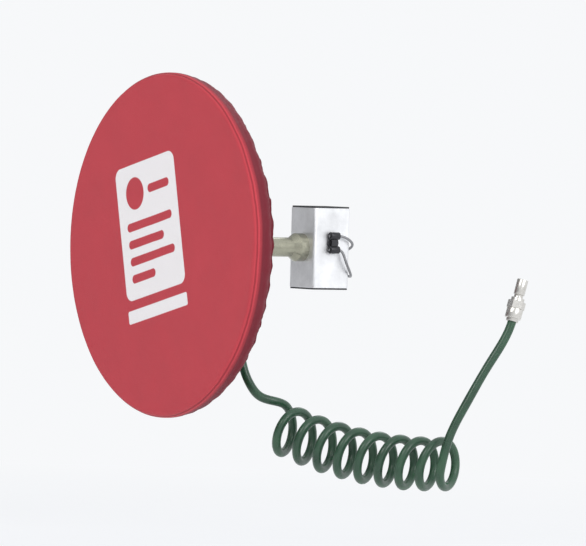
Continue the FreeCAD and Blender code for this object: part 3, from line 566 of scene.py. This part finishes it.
MATS = {}
for maker, table in ((metal, METALS), (rubber, RUBBERS), (plastic, PLASTICS)):
    for slot, values in table.items():
        short = "filter" if slot == "filter_sinter" else slot
        MATS[slot] = maker("m_" + short, *values)
MATS["hose_green"] = hose_material()
MATS["elastic_cord"] = cord_material()
MATS["cover_fabric"] = cover_material("m_cover_fabric", printed=True)
# the hem's copy of the fabric, darkened all over by painted shade
SHADED_HEM_MAT = cover_material("m_cover_fabric_hem_shaded", printed=False)


def paint(ob, material):
    ob.data.materials.clear()
    ob.data.materials.append(material)


# -------------------------------------------------------------- CAD pieces

# bevel width in mm of the pieces whose edges are softened
SOFT_EDGE = {
    "carrier_sleeve": 0.5, "backing_plate": 0.4, "socket_housing": 0.4, "socket_cap": 0.3,
    "barrel_tube": 0.25, "lock_pin": 0.35, "friction_pad": 0.35, "slide_liner_upper": 0.3,
    "slide_liner_lower": 0.3, "port_elbow": 0.3, "hose_plug": 0.3, "plug_nut": 0.3,
    "rod_nut": 0.3,
}


def soften_edges(ob, width):
    weld = ob.modifiers.new("weld", "WELD")
    weld.merge_threshold = 0.00001
    bevel = ob.modifiers.new("edge", "BEVEL")
    bevel.width = width * MM
    bevel.segments = 2
    bevel.limit_method = "ANGLE"
    bevel.angle_limit = math.radians(50.0)
    bevel.use_clamp_overlap = True
    bevel.harden_normals = True


slots = {part["node"]: part["material_slot"] for part in frame["record"]["subparts"]}
for name, ob in nodes.items():
    paint(ob, MATS[slots[name]])
    for poly in ob.data.polygons:
        poly.material_index = 0
    if name in SOFT_EDGE:
        soften_edges(ob, SOFT_EDGE[name])

# ------------------------------------------------------------------- cover
# Fabric laid out as a flat disc, then taken over the rim: a taut face, a rounded
# edge and a loose skirt that the hem gathers.

FACE_Y = -3.0
COVER_R = 160.0
RIM_BEND_R = 6.0
BEND_CENTER_R = COVER_R - RIM_BEND_R
BEND_STEPS = 6
SLACK_ARC = 168.0                   # flat radius where the loose skirt starts
GATHERS = 46
COLS = 320
RING_COLS = [10, 20, 40, 80, 160]   # columns of the innermost rows; the others have COLS
RING_RADII = [3.0, 6.5, 13.0, 22.0, 34.0]
# radius, y of the skirt from the rim to the hem
SKIRT_ROWS = [(160.0, 5.6), (160.0, 8.2), (160.0, 10.6), (159.6, 12.8), (158.8, 15.0),
              (157.8, 17.2), (155.6, 19.0), (153.2, 20.4), (150.6, 21.9), (148.0, 23.3),
              (145.8, 24.4)]
# radius, y of the solid that the cloth rests on
FORMER = [(0.5, -1.6), (152.5, -1.6), (155.0, -0.8), (156.2, 1.0), (156.0, 4.0),
          (150.0, 14.0), (142.0, 18.6), (120.0, 18.6), (0.5, 18.6)]


def cover_rows():
    """(radius, y) of the cover's rows, from the middle of the face to the hem."""
    radii = np.concatenate([RING_RADII, np.linspace(46.0, 140.0, 26),
                            np.linspace(143.0, BEND_CENTER_R, 5)])
    bend = []
    for k in range(1, BEND_STEPS + 1):
        a = -math.pi / 2 + (math.pi / 2) * k / BEND_STEPS
        bend.append((BEND_CENTER_R + RIM_BEND_R * math.cos(a),
                     FACE_Y + RIM_BEND_R + RIM_BEND_R * math.sin(a)))
    return np.array([(r, FACE_Y) for r in radii] + bend + SKIRT_ROWS)


rows = cover_rows()
row_steps = np.linalg.norm(np.diff(rows, axis=0), axis=1)
arc = np.concatenate([[rows[0, 0]], rows[0, 0] + np.cumsum(row_steps)])
skirt = np.clip((arc - SLACK_ARC) / (arc[-1] - SLACK_ARC), 0, 1)    # 0 at the rim, 1 at the hem
theta = circle_angles(COLS)
phase = np.cumsum(0.6 + 0.8 * rng.random(COLS))
phase *= 2 * np.pi * GATHERS / phase[-1]
gather = np.sin(phase) + 0.45 * np.sin(2.0 * phase + 1.3) + 0.5 * np.sin(7 * theta + 0.4)


def cover_faces(starts, center):
    """Fan at the centre, rings that double their columns, then plain quads."""
    first = RING_COLS[0]
    faces = [(center, (k + 1) % first, k) for k in range(first)]
    for i, n in enumerate(RING_COLS):
        p, q = starts[i], starts[i + 1]
        for k in range(n):
            k1 = (k + 1) % n
            o0, o1, o2 = q + 2 * k, q + 2 * k + 1, q + (2 * k + 2) % (2 * n)
            faces += [(p + k, o1, o0), (p + k, p + k1, o1), (p + k1, o2, o1)]
    base = starts[len(RING_COLS)]
    quads = grid_faces(len(rows) - len(RING_COLS), COLS)
    return faces + [tuple(base + v for v in quad) for quad in quads]


def build_cover():
    """The cover's mesh, and the row that each vertex belongs to."""
    across = np.pi * rows[:, 0] / COVER_R
    dent = (0.55 * np.outer(np.sin(across), np.cos(2 * theta + 0.9))
            + 0.35 * np.outer(np.sin(2 * across), np.cos(3 * theta - 0.5)))
    verts, uvs, starts, row_of = [], [], [], []
    for i, (radius, y) in enumerate(rows):
        n = RING_COLS[i] if i < len(RING_COLS) else COLS
        pick = np.arange(0, COLS, COLS // n)
        t = theta[pick]
        crumple = 0.12 * rng.standard_normal(COLS) * (skirt[i] > 0)
        r_here = radius + (skirt[i] * 0.9 * gather + crumple)[pick]
        y_here = y + (skirt[i] * 0.5 * np.roll(gather, 2))[pick]
        if radius < 152 and y < -2.9:
            y_here = y_here + dent[i][pick]
        starts.append(len(row_of))
        row_of += [i] * n
        verts.append(around_stem(r_here, y_here, t))
        uvs.append(np.stack([arc[i] * np.cos(t), arc[i] * np.sin(t)], 1))
    center = len(row_of)
    verts = np.concatenate(verts + [np.array([[0.0, FACE_Y, 0.0]])]) * MM
    uvs = np.concatenate(uvs + [np.array([[0.0, 0.0]])])
    ob = make_mesh("cover_shell", verts, cover_faces(starts, center), uvs)
    return ob, np.array(row_of + [0])


def add_cloth(ob, row_of):
    """Cloth that is fixed at the hem, slightly taut on the face and slack in the skirt."""
    pin = ob.vertex_groups.new(name="pin")
    slack = ob.vertex_groups.new(name="slack")
    pin.add([int(k) for k in np.nonzero(row_of == len(rows) - 1)[0]], 1.0, "REPLACE")
    for i in range(len(rows)):
        slack.add([int(k) for k in np.nonzero(row_of == i)[0]], float(1.0 - skirt[i]), "REPLACE")
    former = lathe("former", FORMER, 128, closed=False)
    former.modifiers.new("hit", "COLLISION")
    former.collision.thickness_outer = 0.0012
    former.collision.cloth_friction = 6
    cloth = ob.modifiers.new("cloth", "CLOTH")
    settings = cloth.settings
    settings.quality = 6
    settings.mass = 0.35
    settings.tension_stiffness = 25
    settings.compression_stiffness = 12
    settings.shear_stiffness = 10
    settings.bending_stiffness = 0.35
    settings.tension_damping = 18
    settings.compression_damping = 18
    settings.shear_damping = 18
    settings.bending_damping = 1.0
    settings.vertex_group_mass = "pin"
    settings.vertex_group_shrink = "slack"
    settings.shrink_min = -0.055
    settings.shrink_max = 0.001
    settings.use_pressure = True
    settings.uniform_pressure_force = 0.6
    settings.effector_weights.gravity = 0.0
    cloth.collision_settings.use_collision = True
    cloth.collision_settings.distance_min = 0.0008
    cloth.collision_settings.use_self_collision = False
    return cloth, former


def simulate_cover(ob, row_of):
    """Short cloth run, whose spare skirt cloth buckles into gathers."""
    cloth, former = add_cloth(ob, row_of)
    scene = bpy.context.scene
    scene.frame_start, scene.frame_end = 1, 24
    cloth.point_cache.frame_start, cloth.point_cache.frame_end = 1, 24
    for f in range(1, 23):
        scene.frame_set(f)
    evaluated = ob.evaluated_get(bpy.context.evaluated_depsgraph_get())
    new = read_points(evaluated.to_mesh()).astype(float)
    evaluated.to_mesh_clear()
    old = read_points(ob.data).astype(float)
    ob.modifiers.remove(cloth)
    scene.frame_set(1)
    bpy.data.objects.remove(former)

    move = new - old
    move[~np.isfinite(move)] = 0.0      # a point the solver lost stays where it was
    size = np.linalg.norm(move, axis=1)
    longest = np.where(skirt > 0, 0.0035, 0.0022)[row_of]
    move *= (np.minimum(size, longest) / np.maximum(size, 1e-9))[:, None]
    out = old + move
    # keep the face in front of the lip and plate, and all of it within a set radius
    face = rows[row_of, 1] < -2.0
    out[face, 1] = np.clip(out[face, 1], -0.0062, -0.0019)
    radius = np.hypot(out[:, 0], out[:, 2])
    out[:, ::2] *= np.minimum(1.0, 0.1645 / np.maximum(radius, 1e-6))[:, None]
    ob.data.vertices.foreach_set("co", out.astype(np.float32).ravel())
    ob.data.update()


cover, row_of = build_cover()
simulate_cover(cover, row_of)
thick = cover.modifiers.new("thick", "SOLIDIFY")
thick.thickness = 0.0009
thick.offset = -1.0
paint(cover, MATS["cover_fabric"])
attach(cover, "cover")
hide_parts("cover")

# --------------------------------------------------------------------- hem

HEM_SIDES = 14


def build_hem():
    """The turned-in edge, an oval roll that is gathered like the skirt."""
    edge_line = read_points(cover.data)[-1 - COLS:-1] / MM     # the very last is the centre
    verts = []
    for g, t, edge in zip(gather, theta, edge_line):
        center_r, center_y = 142.2 + 0.25 * g, 22.0 + 0.35 * g
        # the first point joins the skirt's edge
        oval = [(math.hypot(edge[0], edge[2]) + 0.1, float(edge[1]))]
        for k in range(1, HEM_SIDES):
            a = math.radians(40.0) + 2 * math.pi * k / HEM_SIDES
            oval.append((center_r + (2.75 + 0.35 * g) * math.cos(a),
                         center_y + (2.5 + 0.25 * g) * math.sin(a)))
        verts += [(r * math.cos(t), y, r * math.sin(t)) for r, y in oval]
    uvs = np.array([[j * 3.0, k * 1.2] for j in range(COLS) for k in range(HEM_SIDES)])
    return make_mesh("cover_hem", np.array(verts) * MM, grid_faces(COLS, HEM_SIDES, True), uvs)


hem = build_hem()
paint(hem, SHADED_HEM_MAT)
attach(hem, "cover")

# -------------------------------------------------------------------- hose

HOSE_R = 4.0
PORT_X, PORT_Y, PORT_Z = 48.0, 44.0, -70.0
COIL_START, COIL_END = np.array([88.0, 70.0, -160.0]), np.array([262.0, 147.5, -186.0])
COIL_R = 21.0
COIL_TURNS = 8.7917
COIL_POINTS = 12                    # path points to a turn
COIL_FIRST_ANGLE = 75.0
COIL_SAG = 44.0                     # times s(1 - s) along the coil
PLUG_BASE = np.array([286.0, 193.0, -46.0])
PLUG_DIR = np.array([0.0, 0.28, 0.96])


def hose_path():
    """From the port outwards, down to the coil, along it and up to the plug."""
    reach = math.hypot(PORT_X, PORT_Z)
    outward = np.array([PORT_X / reach, 0, PORT_Z / reach])
    port = np.array([PORT_X, PORT_Y, PORT_Z])
    path = [port + outward * d for d in (9.2, 16.0, 24.5)]
    path += [(66.8, 44.8, -98.5), (71.5, 46.5, -112.0), (77.5, 50.0, -125.0), (84.0, 55.5, -134.0)]

    axis = COIL_END - COIL_START
    span = np.linalg.norm(axis)
    axis = axis / span
    side = np.cross(axis, [0, 0, 1.0])
    side /= np.linalg.norm(side)
    lift = np.cross(side, axis)
    steps = int(COIL_TURNS * COIL_POINTS)
    for k in range(1, steps + 1):
        s = k / float(steps)
        a = math.radians(COIL_FIRST_ANGLE + 360.0 * COIL_TURNS * s)
        path.append(COIL_START + axis * (span * s) + side * (COIL_R * math.cos(a))
                    + lift * (COIL_R * math.sin(a)) + np.array([0, 0, -COIL_SAG * s * (1.0 - s)]))

    path += [(272.7, 133.3, -164.0), (277.0, 148.3, -132.0), (282.0, 168.8, -96.0)]
    path += [PLUG_BASE - PLUG_DIR * d for d in (14.0, 1.0)]
    return path


def hose_wobble(s, a):
    return 0.05 * np.sin(3 * a + 40 * s) + 0.06 * math.sin(170 * s)


hose = tube("hose_skin", spline(hose_path(), 1100), HOSE_R, 18, wobble=hose_wobble)
paint(hose, MATS["hose_green"])
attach(hose, "pad")
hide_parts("hose")

# --------------------------------------------------------------- dust boot
# Two halves that meet on the middle body of the ball joint.

BOOT_SPLIT_Y = 55.5
BOOT_OUTER_MIN_R, BOOT_INNER_MIN_R = 19.0, 18.0
# radius, y: the outside from front to rear, then the inside from rear to front
BOOT_OUTER = [(26.2, 41.6), (26.4, 44.0), (26.2, 48.0), (31.2, 52.0), (27.0, 55.5),
              (30.0, 59.0), (20.8, 63.8), (19.3, 65.4), (19.6, 67.2), (19.2, 69.2)]
BOOT_INNER = [(18.0, 69.2), (18.0, 64.4), (19.6, 62.6), (27.6, 58.6), (25.3, 55.5),
              (28.6, 52.0), (25.0, 48.6), (25.0, 41.6)]


def smooth_line(points, count, min_radius):
    flat = np.array(points, float)
    line = spline(np.c_[flat, np.zeros(len(flat))], count)[:, :2]
    line[:, 0] = np.maximum(line[:, 0], min_radius)
    return line


def boot_part(name, front):
    outer = smooth_line(BOOT_OUTER, 64, BOOT_OUTER_MIN_R)
    inner = smooth_line(BOOT_INNER, 50, BOOT_INNER_MIN_R)
    outside = [tuple(p) for p in outer if (p[1] <= BOOT_SPLIT_Y + 0.01) == front]
    inside = [tuple(p) for p in inner if (p[1] <= BOOT_SPLIT_Y + 0.01) == front]
    split_out = (float(np.interp(BOOT_SPLIT_Y, outer[:, 1], outer[:, 0])), BOOT_SPLIT_Y)
    split_in = (float(np.interp(BOOT_SPLIT_Y, inner[::-1, 1], inner[::-1, 0])), BOOT_SPLIT_Y)
    if front:
        profile = outside + [split_out, split_in] + inside
    else:
        profile = [split_out] + outside + inside + [split_in]
    ob = lathe(name, profile, 128)
    paint(ob, MATS["boot_rubber"])
    return ob


boot_front = boot_part("boot_front", True)
boot_rear = boot_part("boot_rear", False)
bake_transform(boot_rear)
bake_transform(boot_front)
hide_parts("dust_boot")
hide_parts("dust_boot")

# ------------------------------------------------------- suspension spring

SPRING_Y0, SPRING_Y1 = 68.95, 89.05
SPRING_R = 11.6
SPRING_PITCH = 4.4
WIRE_R = 0.9


def build_spring():
    share = np.linspace(0, 1, 420)
    length = SPRING_Y1 - SPRING_Y0
    angles = 2 * np.pi * (length / SPRING_PITCH) * share
    return tube("stem_spring", around_stem(SPRING_R, SPRING_Y0 + length * share, angles),
                WIRE_R, 12)


spring = build_spring()
paint(spring, MATS["spring_steel"])
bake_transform(spring)
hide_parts("suspension_spring")

# ------------------------------------------------------------- sealing lip

# radius, y and, where it isn't LIP_CORNER_R, the corner's radius
LIP_CORNER_R = 0.3
LIP = [(112.0, 10.0), (112.0, 7.0), (131.0, 7.0), (137.0, 4.6, 2.0), (144.0, 2.4, 3.0),
       (151.0, 0.05, 1.5), (155.0, 0.0, 0.8), (155.0, 1.8, 0.8), (148.0, 4.6, 3.0),
       (142.0, 7.2, 2.0), (139.0, 10.0, 2.0), (139.0, 18.0, 1.2), (131.0, 18.0, 1.0),
       (131.0, 16.0, 0.2), (135.0, 16.0, 0.2), (135.0, 10.0, 0.2)]


def lip_ripple(r, a):
    """Slight waviness; only the part outside radius 140 waves in y."""
    return 0.05 * np.sin(5 * a + r), 0.04 * np.sin(9 * a + r) * (r > 140)


lip = lathe("lip_skin", rounded(LIP, LIP_CORNER_R, steps=5), 256, ripple=lip_ripple)
paint(lip, MATS["lip_rubber"])
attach(lip, "pad")
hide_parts("sealing_lip")

# ----------------------------------------------------------------- normals

for ob in (boot_front, boot_rear, spring, lip, hose, cover, hem):
    bm = bmesh.new()
    bm.from_mesh(ob.data)
    bmesh.ops.recalc_face_normals(bm, faces=bm.faces)
    # the cover is an open sheet, so its outer side is chosen here: the face looks to -Y
    if ob is cover and sum(f.normal.y * f.calc_area() for f in bm.faces) > 0:
        for f in bm.faces:
            f.normal_flip()
    bm.to_mesh(ob.data)
    bm.free()

# ------------------------------------------------------------------- stage

FLOOR_DROP = 0.11                   # floor below the lowest CAD point
FLOOR_HALF = 40
PALE = (0.93, 0.94, 0.955)          # seen behind everything


def floor_material(floor_z):
    """Matt near the object, fading into the pale background further off."""
    m = Mat("m_floor", rough=0.9)
    m.surface({"Base Color": m.ramp(m.noise(scale=1.3, detail=3.0),
                                    [(0.3, (0.87, 0.875, 0.885)), (0.7, (0.90, 0.905, 0.915))])})
    away = m.node("VectorMath")
    away.operation = "LENGTH"
    m.feed(away.inputs[0], m.mapping(loc=(0.0, 0.0, -floor_z)))
    far = m.node("Emission")
    m.feed(far.inputs[0], PALE)
    fade = m.node("MixShader")
    m.feed(fade.inputs[0], m.remap(away.outputs["Value"], span=(0.5, 2.4)))
    m.feed(fade.inputs[1], m.bsdf.outputs[0])
    m.feed(fade.inputs[2], far.outputs[0])
    m.feed(m.output.inputs[0], fade.outputs[0])
    return m.done()


def build_floor():
    z, half = cad_low.z - FLOOR_DROP, FLOOR_HALF
    mesh = bpy.data.meshes.new("floor")
    mesh.from_pydata([(-half, -half, z), (half, -half, z), (half, half, z), (-half, half, z)],
                     [], [(0, 1, 2, 3)])
    floor = bpy.data.objects.new("floor", mesh)
    bpy.context.scene.collection.objects.link(floor)
    paint(floor, floor_material(z))


def build_world():
    """Soft surround, brightest towards +X +Y +Z; the camera sees plain PALE."""
    world = bpy.data.worlds.new("studio")
    bpy.context.scene.world = world
    world.use_nodes = True
    g = Graph(world.node_tree)
    output = g.node("OutputWorld")
    coords = g.node("TexCoord")
    dot = g.node("VectorMath")
    dot.operation = "DOT_PRODUCT"
    g.feed(dot.inputs[0], coords.outputs["Generated"])
    g.feed(dot.inputs[1], (0.72, 0.46, 0.52))
    strength = g.remap(dot.outputs["Value"], span=(-0.75, 0.75), to=(0.30, 1.05), smooth=True)
    soft = g.node("Background")
    g.feed(soft.inputs[0], (0.96, 0.975, 1.0))
    g.feed(soft.inputs[1], strength)
    seen = g.node("Background")
    g.feed(seen.inputs[0], PALE)
    mix = g.node("MixShader")
    ray = g.node("LightPath")
    g.feed(mix.inputs[0], ray.outputs["Is Camera Ray"])
    g.feed(mix.inputs[1], soft.outputs[0])
    g.feed(mix.inputs[2], seen.outputs[0])
    g.feed(output.inputs[0], mix.outputs[0])


def area_light(name, loc, target, size, power, color=(1, 1, 1)):
    light = bpy.data.lights.new(name, "AREA")
    light.shape = "DISK"
    light.size = size
    light.energy = power
    light.color = color
    ob = bpy.data.objects.new(name, light)
    bpy.context.scene.collection.objects.link(ob)
    ob.location = loc
    ob.rotation_euler = (Vector(target) - Vector(loc)).to_track_quat("-Z", "Y").to_euler()


def add_camera(target, azimuth, elevation, roll, distance, lens):
    """Camera looking at target; azimuth turns from -Y towards +X."""
    az, el = math.radians(azimuth), math.radians(elevation)
    back = Vector((math.sin(az) * math.cos(el), -math.cos(az) * math.cos(el), math.sin(el)))
    data = bpy.data.cameras.new("cam")
    data.sensor_width = 36.0
    data.lens = lens
    data.clip_end = 100.0
    cam = bpy.data.objects.new("cam", data)
    bpy.context.scene.collection.objects.link(cam)
    cam.location = Vector(target) + back * distance
    cam.rotation_mode = "QUATERNION"
    turn = Matrix.Rotation(math.radians(roll), 3, "Z").to_quaternion()
    cam.rotation_quaternion = (-back).to_track_quat("-Z", "Y") @ turn
    bpy.context.scene.camera = cam


build_floor()
build_world()
area_light("key", loc=(1.0, -2.4, 2.2), target=(0, 0, 0), size=1.6, power=26,
           color=(1.0, 0.98, 0.95))
area_light("fill", loc=(2.8, 0.5, 1.2), target=(0, 0.1, 0), size=1.6, power=22)
area_light("rim", loc=(-1.6, 2.4, 1.8), target=(0, 0.1, 0), size=1.4, power=10,
           color=(0.95, 0.97, 1.0))
add_camera(target=(0.074, 0.095, -0.022), azimuth=56.0, elevation=1.2, roll=1.6,
           distance=6.3, lens=424.0)
bpy.context.scene.view_settings.view_transform = "Standard"
